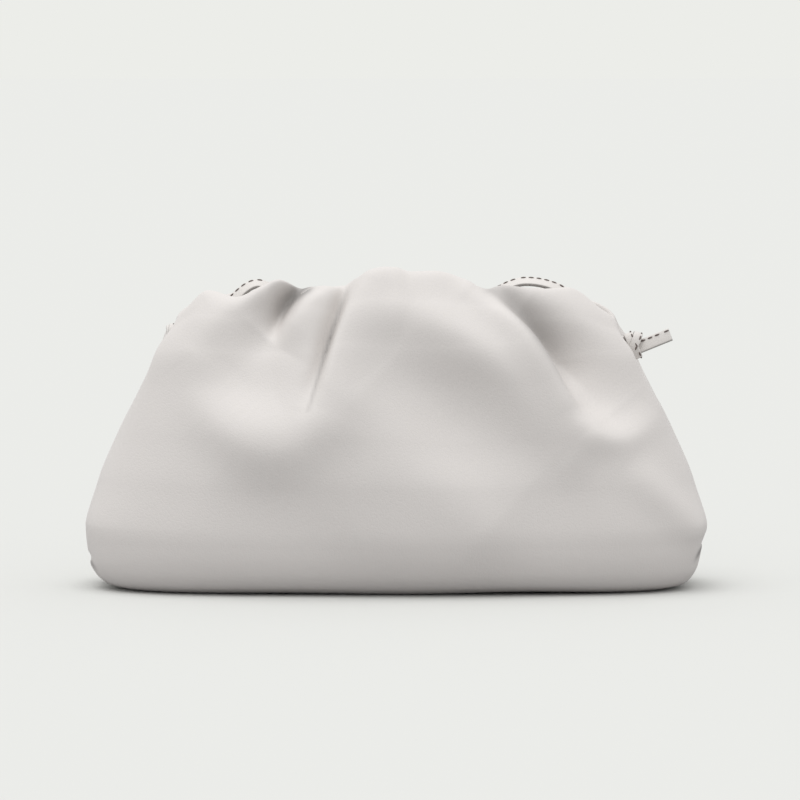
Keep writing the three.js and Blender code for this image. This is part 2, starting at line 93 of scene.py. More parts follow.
# Colours, as linear light
BACKDROP = (0.84, 0.847, 0.815)
FLOOR_PAINT = (0.697, 0.703, 0.682)
FLOOR_BOUNCE = (0.42, 0.42, 0.42)  # what the floor gives back to the bag
LEATHER = (0.755, 0.722, 0.697)
STRAP_LEATHER = (0.75, 0.72, 0.69)
THREAD = (0.15, 0.12, 0.11)
EDGE_SHADE_AND_PAINT = 0.48  # how much darker the strap's lower edge is: painted shade along it and its darker edge paint
EDGE_SHADE_AND_PAINT_RANGE = (0.9, 0.96)  # where that begins and is full, from its middle, as shares

# Leather finishes: colour, roughness, strength of the grain, and size of its cells
LEATHERS = {
    "leather": (LEATHER, 0.52, 0.24, 0.95 * MM),
    "strap_leather": (STRAP_LEATHER, 0.5, 0.12, 0.8 * MM),
    "bar_leather": (LEATHER, 0.5, 0.2, 0.9 * MM),
}
THREAD_ROUGHNESS = 0.7
LEATHER_SPECULAR = 0.35
GRAIN_DEPTH = 0.35 * MM
PEBBLE_RISE = -0.5  # the grain's height falls from the middle of a pebble to its edge
CREASE_RISE = 3  # and is lowest in the creases
CREASE_WIDTH = 0.12  # of a cell of the creases
CREASE_COARSENESS = 0.55  # cells of the creases to one pebble
SOFT_RISE = 0.6
SOFT_WAVES = {"Scale": 60.0, "Detail": 3.0}
TONE_WAVES = {"Scale": 9.0, "Detail": 2.0}
TONE_LOW = 0.97  # darkest tone of the leather, before any painted shade
TONE_RANGE = 0.06

# Light and camera
SUN_TILT = (math.radians(6), math.radians(-8), 0)
SUN_STRENGTH = 1.2
SUN_SPREAD = math.radians(55)  # wide, for soft shadows
SURROUND_STRENGTH = 0.82
FLOOR_SIZE = 60
CAMERA_DISTANCE = 2.2
CAMERA_ELEVATION = math.radians(4.5)
CAMERA_TARGET = Vector((1.9 * MM, 0, 90.2 * MM))
CAMERA_REACH = 200
SENSOR_WIDTH = 36  # of the camera, in its own millimetres
PICTURE_WIDTH = 800 * 0.4823 * MM  # width at the bag that the picture takes in

# Mesh fineness and smoothing
PANEL_COLUMNS = 280
PANEL_ROWS = 160
STROKE_PIECES = 16
SIDE_CROWDING = 1.8  # above 1, so that a panel's columns crowd towards its sides
SEAM_COLUMNS = (0.9915, 0.994, 0.9965, 0.9985)  # more columns across a panel, next to the side seam
SLOPE_STEP = 0.01  # across and along a panel, to find which way it faces
ROUTE_SAMPLES = 30  # on each stretch of a route, before it is spaced evenly
ROUTE_STEP = 1.2 * MM
BAND_POINTS = 20  # round a band's cut
TURN_POINTS = 40  # along a turn of a knot
CREASE_ANGLE = 60  # degrees above which an edge of the leather stays sharp
STRAP_EDGE_ANGLE = 50
TINY = 1e-12  # keeps a divisor above zero

HALF_WIDTH = BAG_WIDTH / 2
HALF_DEPTH = BAG_DEPTH / 2
MOUTH_HALF = MOUTH_LENGTH / 2
SLOT_HALF = MOUTH_OPENING / 2 + BAR_THICKNESS + 2 * SEWN_GAP
LIP_LEVEL = (MOUTH_HEIGHT - BAR_HEIGHT + LIP_OVERHANG) / MOUTH_HEIGHT

# Rings round the bag, from the seam under the base, up the side, over the gathered crest and
# down into the mouth. level: height as a share of MOUTH_HEIGHT. lift: share of the crest's rise.
# flare: 0 at the mouth's end, 1 at the widest point. tuck: how far the side seam is drawn in, as
# a share of the ring's reach. depth and slot: shares of half the bag's depth and of half the
# mouth's width. square: 2 is an ellipse, more is boxier. notch: how far the slanting corner seam
# is drawn in at the ends, as a share of the ring's reach. tilt: 1 on that seam.
# rows: the ring's share of the mesh rows up to the next one.
SECTION_COLUMNS = ("name", "level", "lift", "flare", "tuck", "depth",
                   "slot", "square", "notch", "tilt", "rows")
SECTIONS = (
    ("bottom_seam", 0, 0, 0.32, 0, 0, 0, 3.2, 0, 0, 6),
    ("base_edge", 0, 0, 0.48, 0, 0.6, 0, 3.4, 0, 0, 6),
    ("base_roll", 0.018, 0, 0.76, 0, 0.76, 0, 3.2, 0, 0, 7),
    ("low_roll", 0.07, 0, 0.9, 0, 0.875, 0, 3, 0, 0.3, 7),
    ("under_seam", 0.128, 0, 0.95, 0, 0.93, 0, 2.9, 0, 1, 4),
    ("corner_seam", 0.156, 0, 0.965, 0, 0.948, 0, 2.85, 0.013, 1, 4),
    ("over_seam", 0.184, 0, 0.978, 0, 0.962, 0, 2.8, 0, 1, 5),
    ("widest", 0.25, 0, 1, 0, 0.985, 0, 2.7, 0, 0, 12),
    ("low_side", 0.426, 0, 0.865, 0, 1, 0, 2.45, 0, 0, 18),
    ("mid_side", 0.615, 0, 0.715, 0.02, 0.93, 0, 2.3, 0, 0, 19),
    ("high_side", 0.8, 0, 0.58, 0.07, 0.79, 0, 2.2, 0, 0, 19),
    ("neck", 0.93, 0.16, 0.47, 0.16, 0.66, 0, 2.2, 0, 0, 16),
    ("shoulder", 1, 0.6, 0.3, 0.13, 0.51, 0, 2.3, 0, 0, 14),
    ("crest", 1.04, 1, 0.19, 0.08, 0.33, 0, 2.6, 0, 0, 14),
    ("inner_slope", 1.03, 0.6, 0.02, 0.06, 0.05, 1, 6, 0, 0, 6),
    ("lip", 1.01, 0.1, 0, 0.06, 0, 1, 24, 0, 0, 3),
    ("lip_edge", LIP_LEVEL, 0, 0, 0.06, 0, 1, 24, 0, 0, 0),
)
CREST_ROW = [row[0] for row in SECTIONS].index("crest")
LAST_ROW = len(SECTIONS) - 1
SECTION = {name: np.array([row[i] for row in SECTIONS], float)
           for i, name in enumerate(SECTION_COLUMNS) if name != "name"}
CREST_HALF = MOUTH_HALF + SECTION["flare"][CREST_ROW] * (HALF_WIDTH - MOUTH_HALF)
CREST_END = SECTION["level"][CREST_ROW] * MOUTH_HEIGHT

# The top line of each panel. along: share of the crest's half length, from the left end.
# rise: share of the way from the crest's end up to BAG_HEIGHT.
FRONT_CREST = (
    ("left_end", -1, 0),
    ("left_end_rise", -0.95, 0.07),
    ("left_shoulder", -0.88, 0.33),
    ("left_hump", -0.8, 0.59),
    ("left_saddle", -0.68, 0.49),
    ("left_fold_side", -0.57, 0.67),
    ("left_fold", -0.5, 0.78),
    ("pit", -0.39, 0.58),
    ("middle_fold", -0.31, 0.68),
    ("crease", -0.225, 0.65),
    ("crease_top", -0.175, 0.78),
    ("peak_side", -0.11, 0.95),
    ("peak", -0.05, 1),
    ("peak_end", 0, 0.99),
    ("dome_dip", 0.06, 0.92),
    ("dome", 0.16, 0.93),
    ("dome_fall", 0.3, 0.78),
    ("overlap", 0.385, 0.6),
    ("right_fold", 0.45, 0.67),
    ("right_dip", 0.62, 0.61),
    ("right_hump", 0.73, 0.63),
    ("right_shoulder", 0.88, 0.25),
    ("right_end_rise", 0.95, 0.07),
    ("right_end", 1, 0),
)
BACK_CREST = (
    ("left_end", -1, 0),
    ("left_shoulder", -0.84, 0.36),
    ("left_fold", -0.62, 0.52),
    ("left_dip", -0.46, 0.42),
    ("tucked_fold", -0.22, 0.6),
    ("middle_dip", -0.05, 0.55),
    ("middle_fold", 0.14, 0.66),
    ("right_dip", 0.36, 0.55),
    ("right_fold", 0.6, 0.57),
    ("right_shoulder", 0.84, 0.36),
    ("right_end", 1, 0),
)

# Folds and hollows, each a stroke along a curved line. start, bend, end: across as shares of half
# the width and up as shares of BAG_HEIGHT. wide: at its start and end, as shares of BAG_HEIGHT.
# left: its width on its left-hand side as a share of wide. out: how far it stands out, or in where
# negative, at its start, middle and end, as shares of BAG_DEPTH. lean: how far it tips to its
# right-hand side, as a share of BAG_DEPTH.
FRONT_FOLDS = (
    ("right_hollow", (0.4, 0.88), (0.55, 0.76), (0.69, 0.56), (0.05, 0.06), 2, (-0.03, -0.095, -0.045), 0),
    ("right_crest", (0.42, 0.97), (0.58, 0.97), (0.76, 0.88), (0.07, 0.07), 1, (-0.035, -0.065, -0.015), 0),
    ("right_gap", (0.32, 0.91), (0.455, 0.79), (0.56, 0.58), (0.035, 0.045), 1.6, (-0.045, -0.085, -0.03), 0),
    ("dome_ridge", (0.04, 0.86), (0.31, 0.77), (0.56, 0.45), (0.09, 0.08), 1, (0.03, 0.07, 0.03), 0),
    ("overlap", (0.24, 0.925), (0.41, 0.78), (0.58, 0.49), (0.045, 0.045), 1, (0.02, 0.055, 0.01), -0.055),
    ("long_trough", (-0.02, 0.71), (0.2, 0.53), (0.42, 0.34), (0.13, 0.28), 0.77, (-0.025, -0.085, -0.05), 0),
    ("left_bowl", (-0.36, 0.86), (-0.43, 0.78), (-0.5, 0.7), (0.08, 0.12), 1.2, (-0.03, -0.045, -0.04), 0),
    ("left_pit", (-0.27, 0.94), (-0.33, 0.89), (-0.41, 0.79), (0.04, 0.08), 0.5, (-0.07, -0.13, -0.01), 0),
    ("pit_lip", (-0.235, 0.925), (-0.3, 0.87), (-0.37, 0.76), (0.035, 0.06), 1.6, (0.02, 0.035, 0.005), 0.03),
    ("left_fold", (-0.42, 0.98), (-0.5, 0.92), (-0.62, 0.74), (0.06, 0.08), 1, (0.02, 0.035, 0.02), 0),
    ("left_crest", (-0.62, 0.93), (-0.52, 0.98), (-0.42, 0.97), (0.06, 0.05), 1, (-0.015, -0.04, -0.02), 0),
    ("left_ledge", (-0.68, 0.7), (-0.4, 0.27), (-0.19, 0.6), (0.09, 0.09), 1.4, (0.01, 0.055, 0.03), 0),
    ("crease", (-0.145, 0.96), (-0.195, 0.78), (-0.28, 0.57), (0.03, 0.035), 0.6, (-0.04, -0.06, -0.005), 0),
    ("ridge", (-0.085, 0.96), (-0.135, 0.78), (-0.215, 0.56), (0.06, 0.065), 1.8, (0.02, 0.035, 0.015), 0.03),
    ("left_belly", (-0.6, 0.35), (-0.37, 0.22), (-0.15, 0.3), (0.2, 0.2), 1, (-0.025, -0.035, -0.02), 0),
    ("belly_lobe", (-0.1, 0.66), (0.08, 0.44), (0.28, 0.22), (0.12, 0.1), 1, (0, 0.015, 0.02), 0),
    ("right_rim", (0.56, 0.58), (0.68, 0.4), (0.83, 0.56), (0.055, 0.055), 1.5, (0.015, 0.04, 0.01), 0),
    ("belly_lip", (-0.2, 0.28), (0.08, 0.13), (0.36, 0.19), (0.12, 0.12), 2, (0.01, 0.02, 0.01), 0),
    ("right_corner", (0.73, 0.4), (0.85, 0.29), (0.95, 0.2), (0.06, 0.05), 1, (0.01, 0.025, 0.02), 0),
)
BACK_FOLDS = (
    ("left_hollow", (-0.4, 0.9), (-0.46, 0.72), (-0.6, 0.5), (0.06, 0.13), 1, (-0.05, -0.075, -0.02), 0),
    ("left_ridge", (-0.24, 0.9), (-0.32, 0.7), (-0.5, 0.4), (0.08, 0.1), 1, (0.05, 0.05, 0.02), 0),
    ("middle_hollow", (-0.05, 0.9), (0, 0.7), (0.1, 0.46), (0.06, 0.13), 1, (-0.05, -0.06, -0.02), 0),
    ("middle_ridge", (0.12, 0.9), (0.16, 0.7), (0.3, 0.4), (0.08, 0.12), 1, (0.05, 0.05, 0.02), 0),
    ("right_hollow", (0.32, 0.9), (0.42, 0.72), (0.5, 0.5), (0.06, 0.12), 1, (-0.05, -0.075, -0.02), 0),
    ("right_ridge", (0.5, 0.88), (0.66, 0.68), (0.7, 0.42), (0.09, 0.1), 1, (0.03, 0.04, 0.02), 0),
)

# Painted shade, standing for the shadow deep in the front's sharpest folds and corner seams, in
# strokes as above, with name, start, bend, end, wide and left. painted_darkness: how much darker
# it is painted at its start, middle and end.
FRONT_PAINTED_SHADES = (
    ("crease", (-0.155, 0.93), (-0.215, 0.78), (-0.275, 0.575), (0.008, 0.006), 1, (0.1, 0.45, 0.15)),
    ("left_pit", (-0.285, 0.925), (-0.39, 0.857), (-0.43, 0.78), (0.035, 0.08), 0.25, (0.55, 0.3, 0.04)),
    ("left_seam", (-0.99, 0.095), (-0.975, 0.08), (-0.96, 0.06), (0.007, 0.007), 1, (0.3, 0.4, 0.1)),
    ("right_seam", (0.99, 0.14), (0.97, 0.115), (0.955, 0.09), (0.007, 0.007), 1, (0.4, 0.6, 0.1)),
    ("right_pit", (0.305, 0.925), (0.462, 0.822), (0.55, 0.63), (0.01, 0.016), 6, (0.25, 0.42, 0.03)),
)

# The strap's way through the valley above the bars, from left to right. across: share of half
# the width. deep: share of half the depth, to the back. up: share of the bag's height.
STRAP_ROUTE = (
    ("left_bar_end", -0.59, 0.01, 0.798),
    ("left_rise", -0.54, 0.04, 0.872),
    ("left_arch", -0.45, 0.07, 0.938),
    ("left_fall", -0.34, 0.1, 0.885),
    ("left_valley", -0.2, 0.07, 0.823),
    ("middle", 0, 0.04, 0.813),
    ("right_valley", 0.18, 0.07, 0.823),
    ("right_fall", 0.3, 0.1, 0.9),
    ("right_arch", 0.41, 0.07, 0.945),
    ("right_arch_end", 0.53, 0.05, 0.918),
    ("right_rise", 0.565, 0.03, 0.86),
    ("right_bar_end", 0.595, 0.01, 0.798),
)
# The two knots. across, deep and up place the middle as above. tail: length from the middle to
# the cut end, in its direction tail_way. turn_tilt and lean are angles in radians.
KNOTS = (
    ("left", -0.72, 0.01, 0.77, 14 * MM, (-0.3, 1, 0.1), 0.12, 0),
    ("right", 0.762, -0.03, 0.748, 19.5 * MM, (0.91, -0.12, 0.38), 0.4, 0.4),
)


def smoothstep(x, low, high):
    s = np.clip((x - low) / (high - low), 0, 1)
    return s * s * (3 - 2 * s)


def smooth_curve(xs, ys):
    """A smooth curve through the points that never overshoots them."""
    xs, ys = np.array(xs, float), np.array(ys, float)
    gap, rate = np.diff(xs), np.diff(ys) / np.diff(xs)
    slope = np.empty(len(xs))
    slope[0], slope[-1] = rate[0], rate[-1]
    for i in range(1, len(xs) - 1):
        turning = rate[i - 1] * rate[i] <= 0
        slope[i] = 0 if turning else (gap[i - 1] + gap[i]) / (gap[i - 1] / rate[i - 1] + gap[i] / rate[i])

    def at(x):
        i = np.clip(np.searchsorted(xs, x) - 1, 0, len(gap) - 1)
        s = np.clip((x - xs[i]) / gap[i], 0, 1)
        return (ys[i] * (1 + 2 * s) * (1 - s) ** 2 + ys[i + 1] * s * s * (3 - 2 * s)
                + gap[i] * (slope[i] * s * (1 - s) ** 2 - slope[i + 1] * s * s * (1 - s)))
    return at


SECTION_CURVES = {name: smooth_curve(range(len(SECTIONS)), values) for name, values in SECTION.items()}


def stroke_push(fold, x, z):
    """How far one fold moves each place: outwards, to the right and up."""
    _, start, bend, end, wide, left, out, lean = fold
    scale = np.array([HALF_WIDTH, BAG_HEIGHT])
    s = np.linspace(0, 1, STROKE_PIECES + 1)[:, None]
    line = (1 - s) ** 2 * (np.array(start) * scale) + 2 * s * (1 - s) * (np.array(bend) * scale)
    line = line + s * s * (np.array(end) * scale)
    out_at = smooth_curve((0, 0.5, 1), np.array(out) * BAG_DEPTH)
    best = np.full(x.shape, np.inf)
    along = np.zeros(x.shape)
    sides = np.zeros(x.shape)  # 1 on the left-hand side of the line, -1 on the right-hand side
    for i in range(STROKE_PIECES):
        way = line[i + 1] - line[i]
        t = np.clip(((x - line[i, 0]) * way[0] + (z - line[i, 1]) * way[1]) / (way @ way), 0, 1)
        away_x, away_z = x - line[i, 0] - t * way[0], z - line[i, 1] - t * way[1]
        far = np.hypot(away_x, away_z)
        nearer = far < best
        side = (way[0] * away_z - way[1] * away_x) / np.maximum(far * math.hypot(*way), TINY)
        sides = np.where(nearer, side, sides)
        best = np.where(nearer, far, best)
        along = np.where(nearer, (i + t) / STROKE_PIECES, along)
    width = (wide[0] + (wide[1] - wide[0]) * along) * BAG_HEIGHT
    width = width * (1 + (left - 1) * (sides + 1) / 2)
    strength = np.exp(-((best / width) ** 2))
    leaning = lean * BAG_DEPTH * strength * np.sin(along * np.pi)
    first, second = (np.array(bend) - start) * scale, (np.array(end) - bend) * scale
    ways = unit(first * (1 - along[..., None]) + second * along[..., None])
    return out_at(along) * strength, ways[..., 1] * leaning, -ways[..., 0] * leaning


def plain_panel(side, crest, across, row):
    """The ring surface before any folds, as an array of points."""
    value = {name: curve(row) for name, curve in SECTION_CURVES.items()}
    reach = MOUTH_HALF + value["flare"] * (HALF_WIDTH - MOUTH_HALF)
    deep = value["depth"] * HALF_DEPTH + value["slot"] * SLOT_HALF
    share = np.sin(across * np.pi / 2)
    tuck = value["tuck"] * smoothstep(np.abs(across), TUCK_START, 1)
    tuck = tuck + value["notch"] * smoothstep(np.abs(across), NOTCH_START, 1)
    y = side * deep * np.maximum(1 - np.abs(share) ** value["square"], 0) ** (1 / value["square"])
    z = value["level"] * MOUTH_HEIGHT + value["lift"] * crest(share * CREST_HALF)
    z = z + value["tilt"] * CORNER_SEAM_TILT * share ** CORNER_SEAM_POWER
    dip = SEAM_DIP * np.sign(share) * smoothstep(np.abs(across), DIP_START, 1)
    dip = dip * smoothstep(row, *DIP_ROWS)
    return np.stack([reach * share * (1 - tuck) - dip, y, z], axis=-1)


def unit(vectors):
    return vectors / np.maximum(np.linalg.norm(vectors, axis=-1, keepdims=True), TINY)


def folded_panel(side, crest_table, folds, across, row):
    """The panel's outside. The inside wall of the crest is moved along with the outside."""
    crest = smooth_curve([r[1] * CREST_HALF for r in crest_table],
                         [r[2] * (BAG_HEIGHT - CREST_END) for r in crest_table])
    points = plain_panel(side, crest, across, row)
    along_x = (plain_panel(side, crest, np.minimum(across + SLOPE_STEP, 1), row)
               - plain_panel(side, crest, np.maximum(across - SLOPE_STEP, -1), row))
    along_z = (plain_panel(side, crest, across, np.minimum(row + SLOPE_STEP, LAST_ROW))
               - plain_panel(side, crest, across, np.maximum(row - SLOPE_STEP, 0)))
    outwards = unit(np.cross(along_x, along_z) * -side)
    blend = smoothstep(row, CREST_ROW - CREST_TURN_ROWS, CREST_ROW)[..., None]
    outwards = unit(outwards * (1 - blend) + np.array([0, side, 0]) * blend)
    fade = (1 - np.abs(across) ** SIDE_FADE_POWER) * smoothstep(LAST_ROW - row, *LIP_FADE_ROWS)
    x, height = points[..., 0].copy(), points[..., 2].copy()
    for fold in folds:
        out, shift_x, shift_z = stroke_push(fold, x, height)
        points = points + outwards * (out * fade)[..., None]
        points[..., 0] += shift_x * fade
        points[..., 2] += shift_z * fade
    points[..., 1] = side * np.maximum(side * points[..., 1], SEWN_GAP / 2)
    points[..., 2] = np.maximum(points[..., 2], 0)
    return points


def painted_shade(points):
    """Painted shade for the shadow in the front's sharpest folds and corner seams: how much darker each place
    is.
    """
    painted_shade_at = np.zeros(points.shape[:-1])
    for *stroke, painted_darkness in FRONT_PAINTED_SHADES:
        depth, _, _ = stroke_push((*stroke, np.array(painted_darkness) / BAG_DEPTH, 0), points[..., 0], points[..., 2])
        painted_shade_at = np.maximum(painted_shade_at, depth)
    return painted_shade_at


def mesh_rows(count):
    """Row values of the mesh, shared out among the sections by their rows column."""
    parts = SECTION["rows"] / SECTION["rows"].sum()
    ends = np.concatenate([[0], np.cumsum(parts)[:-1]])
    return np.interp(np.linspace(0, 1, count + 1), ends, np.arange(len(SECTIONS)))


def mesh_across(count):
    """Across values of the mesh, closer together towards the side seams."""
    t = np.linspace(-1, 1, count + 1)
    share = np.sign(t) * (1 - (1 - np.abs(t)) ** SIDE_CROWDING)
    even = np.arcsin(np.clip(share, -1, 1)) * 2 / np.pi
    return np.sort(np.concatenate([even, SEAM_COLUMNS, np.negative(SEAM_COLUMNS)]))


def deselect():
    bpy.ops.object.select_all(action="DESELECT")


def only(obj):
    deselect()
    obj.select_set(True)
    bpy.context.view_layer.objects.active = obj
    return obj


def move_vertices(obj, points):
    obj.data.vertices.foreach_set("co", np.asarray(points, np.float32).ravel())
    obj.data.update()


def grid_piece(name, points):
    """A grid primitive whose vertices are moved to an array of points, rows by columns."""
    rows, columns = points.shape[0] - 1, points.shape[1] - 1
    deselect()
    bpy.ops.mesh.primitive_grid_add(x_subdivisions=columns, y_subdivisions=rows, size=1)
    obj = bpy.context.object
    obj.name = name
    move_vertices(obj, points.reshape(-1, 3))
    return obj


def set_painted_shade(obj, painted_shade_at):
    """Painted shade: how much darker the leather is at each vertex."""
    painted_shading = obj.data.attributes.new("painted_shade", "FLOAT", "POINT")
    painted_shading.data.foreach_set("value", np.asarray(painted_shade_at, np.float32).ravel())


def tube_piece(name, rings, shades_and_paint, loop=False):
    """A closed tube through rings of points: its ends are filled, or joined where it is a loop."""
    rings = np.concatenate([rings, rings[:, :1]], axis=1)
    shades_and_paint = np.append(shades_and_paint, shades_and_paint[0])
    if loop:
        rings = np.concatenate([rings, rings[:1]])
    else:
        middles = rings[[0, -1], :-1].mean(axis=1, keepdims=True).repeat(rings.shape[1], axis=1)
        rings = np.concatenate([middles[:1], rings, middles[1:]])
    tube = grid_piece(name, rings)
    # painted shade and darker edge paint along the band's lower edge
    set_painted_shade(tube, np.broadcast_to(shades_and_paint, rings.shape[:2]))
    bpy.ops.object.mode_set(mode="EDIT")
    bpy.ops.mesh.select_all(action="SELECT")
    bpy.ops.mesh.remove_doubles(threshold=0.001 * MM)
    bpy.ops.mesh.normals_make_consistent(inside=False)
    bpy.ops.object.mode_set(mode="OBJECT")
    return tube


def joined(name, pieces):
    deselect()
    for piece in pieces:
        piece.select_set(True)
    bpy.context.view_layer.objects.active = pieces[0]
    bpy.ops.object.join()
    pieces[0].name = name
    return pieces[0]


def vertices(obj):
    return np.array([vertex.co for vertex in obj.data.vertices])


def smooth(obj, angle=180):
    """Smooth shading, apart from edges sharper than the angle."""
    only(obj)
    bpy.ops.object.shade_smooth_by_angle(angle=math.radians(angle))


def finish_piece(obj, node, material):
    """The piece takes the place of a node and lies still with it."""
    obj.data.materials.append(material)
    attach(obj, "root")
    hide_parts(node)


class Sockets:
    """Material nodes with short names for the shader maths."""

    def __init__(self, tree):
        self.tree = tree

    def node(self, kind, settings=(), **sockets):
        made = self.tree.nodes.new(kind)
        for key, value in dict(settings).items():
            setattr(made, key, value)
        for key, value in sockets.items():
            self.put(made.inputs[key.replace("_", " ")], value)
        return made

    def put(self, socket, value):
        if isinstance(value, Value):
            self.tree.links.new(value.socket, socket)
        elif isinstance(value, bpy.types.NodeSocket):
            self.tree.links.new(value, socket)
        else:
            socket.default_value = value

    def maths(self, operation, *values):
        made = self.tree.nodes.new("ShaderNodeMath")
        made.operation = operation
        for socket, value in zip(made.inputs, values):
            self.put(socket, value)
        return Value(self, made.outputs[0])

    def output(self, node, name):
        return Value(self, node.outputs[name])


class Value:
    """A number socket that can be added, multiplied and taken from a number."""

    def __init__(self, sockets, socket):
        self.sockets = sockets
        self.socket = socket

    def __add__(self, other):
        return self.sockets.maths("ADD", self, other)

    def __rsub__(self, other):
        return self.sockets.maths("SUBTRACT", other, self)

    def __mul__(self, other):
        return self.sockets.maths("MULTIPLY", self, other)

    __radd__ = __add__
    __rmul__ = __mul__


def leather(name):
    """Fine pebbled leather: cells about a millimetre across with tiny creases between them."""
    color, roughness, grain, cell = LEATHERS[name]
    material = bpy.data.materials.new(name)
    material.use_nodes = True
    sockets = Sockets(material.node_tree)
    shader = material.node_tree.nodes["Principled BSDF"]
    place = sockets.node("ShaderNodeTexCoord").outputs["Object"]
    pebbles = sockets.node("ShaderNodeTexVoronoi", {"feature": "SMOOTH_F1"}, Vector=place, Scale=1 / cell)
    creases = sockets.node("ShaderNodeTexVoronoi", {"feature": "DISTANCE_TO_EDGE"},
                           Vector=place, Scale=CREASE_COARSENESS / cell)
    soft = sockets.node("ShaderNodeTexNoise", Vector=place, **SOFT_WAVES)
    broad = sockets.node("ShaderNodeTexNoise", Vector=place, **TONE_WAVES)
    crease_height = sockets.maths("MINIMUM", sockets.output(creases, "Distance"), CREASE_WIDTH)
    height = (PEBBLE_RISE * sockets.output(pebbles, "Distance")
              + CREASE_RISE * crease_height
              + SOFT_RISE * sockets.output(soft, "Fac"))
    bump = sockets.node("ShaderNodeBump", Strength=grain, Distance=GRAIN_DEPTH, Height=height)
    # painted shade kept on the mesh, for the shadow deep in the front's folds and corner seams and along the
    # strap's lower edge
    painted_shading = sockets.node("ShaderNodeAttribute", {"attribute_name": "painted_shade"})
    tone = TONE_LOW + TONE_RANGE * sockets.output(broad, "Fac")
    tone = tone * (1 - sockets.output(painted_shading, "Fac"))
    mix = sockets.node("ShaderNodeMix", {"data_type": "RGBA", "blend_type": "MULTIPLY"})
    mix.inputs["Factor"].default_value = 1
    mix.inputs[6].default_value = (*color, 1)
    sockets.put(mix.inputs[7], tone)
    sockets.put(shader.inputs["Base Color"], mix.outputs[2])
    sockets.put(shader.inputs["Normal"], bump.outputs["Normal"])
    shader.inputs["Roughness"].default_value = roughness
    shader.inputs["Specular IOR Level"].default_value = LEATHER_SPECULAR
    return material


def plain(name, color, roughness):
    material = bpy.data.materials.new(name)
    material.use_nodes = True
    shader = material.node_tree.nodes["Principled BSDF"]
    shader.inputs["Base Color"].default_value = (*color, 1)
    shader.inputs["Roughness"].default_value = roughness
    return material


def mouth_middle():
    """Half way between the two frame bars, from front to back."""
    front_low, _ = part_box("front_mouth_bar")
    _, back_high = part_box("back_mouth_bar")
    return (front_low[1] + back_high[1]) / 2


def make_panels():
    """The two gathered panels, as leather of one thickness."""
    rows = mesh_rows(PANEL_ROWS)
    across = mesh_across(PANEL_COLUMNS)
    grid_across, grid_row = np.meshgrid(across, rows)
    front = folded_panel(-1, FRONT_CREST, FRONT_FOLDS, grid_across, grid_row)
    back = folded_panel(1, BACK_CREST, BACK_FOLDS, grid_across, grid_row)
    skin = leather("leather")
    for name, node, points in (("front_leather", "front_panel", front), ("back_leather", "back_panel", back)):
        points = points + np.array([0, mouth_middle(), 0])
        panel = grid_piece(name, points)
        only(panel)
        if node == "front_panel":
            # painted shade, for the shadow deep in the front's sharpest folds and corner seams
            set_painted_shade(panel, painted_shade(points))
        else:
            bpy.ops.object.mode_set(mode="EDIT")
            bpy.ops.mesh.select_all(action="SELECT")
            bpy.ops.mesh.flip_normals()
            bpy.ops.object.mode_set(mode="OBJECT")
        thick = panel.modifiers.new("thickness", "SOLIDIFY")
        thick.thickness = LEATHER_WALL
        thick.offset = -1
        bpy.ops.object.modifier_apply(modifier=thick.name)
        smooth(panel, CREASE_ANGLE)
        finish_piece(panel, node, skin)


def smooth_route(points):
    """Evenly spaced points along a centripetal Catmull-Rom line through the given points."""
    points = np.array(points, float)
    padded = np.vstack([2 * points[0] - points[1], points, 2 * points[-1] - points[-2]])
    gaps = np.sqrt(np.linalg.norm(np.diff(padded, axis=0), axis=1))
    s = np.linspace(0, 1, ROUTE_SAMPLES, endpoint=False)[:, None]
    line = []
    for i in range(1, len(padded) - 2):
        p0, p1, p2, p3 = padded[i - 1:i + 3]
        g0, g1, g2 = gaps[i - 1:i + 2]
        leaves = ((p1 - p0) / g0 - (p2 - p0) / (g0 + g1) + (p2 - p1) / g1) * g1
        arrives = ((p2 - p1) / g1 - (p3 - p1) / (g1 + g2) + (p3 - p2) / g2) * g1
        line.append(p1 * (1 + 2 * s) * (1 - s) ** 2 + p2 * s * s * (3 - 2 * s)
                    + leaves * s * (1 - s) ** 2 - arrives * s * s * (1 - s))
    line = np.vstack([*line, points[-1:]])
    travel = np.concatenate([[0], np.cumsum(np.linalg.norm(np.diff(line, axis=0), axis=1))])
    spots = np.linspace(0, travel[-1], max(round(travel[-1] / ROUTE_STEP), 1) + 1)
    return np.stack([np.interp(spots, travel, line[:, k]) for k in range(3)], axis=1)


def band_section(width, thickness):
    """The points round a flat band's cut: how far each is across its width and its thickness."""
    angle = np.linspace(0, 2 * np.pi, BAND_POINTS, endpoint=False)
    wide = np.sign(np.cos(angle)) * np.abs(np.cos(angle)) ** BAND_WIDE_POWER
    thick = np.sign(np.sin(angle)) * np.abs(np.sin(angle)) ** BAND_THICK_POWER
    return wide * width / 2, thick * thickness / 2


def edge_shade_and_paint(wide):
    """The painted shade and darker edge paint of a band's lower edge, which is its left edge on a knot's
    turn.
    """
    return EDGE_SHADE_AND_PAINT * smoothstep(-wide / wide.max(), *EDGE_SHADE_AND_PAINT_RANGE)


def band_frames(points, lean):
    """Directions along a band, up across its width and out of its front face."""
    along = unit(np.gradient(points, axis=0))
    lean = np.broadcast_to(lean, len(points))
    facing = np.stack([0 * lean, -np.cos(lean), np.sin(lean)], axis=1)
    up = unit(np.cross(facing, along))
    return along, up, np.cross(along, up)


def band(points, lean):
    _, up, front = band_frames(points, lean)
    wide, thick = band_section(STRAP_WIDTH, STRAP_THICKNESS)
    rings = points[:, None] + up[:, None] * wide[:, None] + front[:, None] * thick[:, None]
    return tube_piece("band", rings, edge_shade_and_paint(wide))


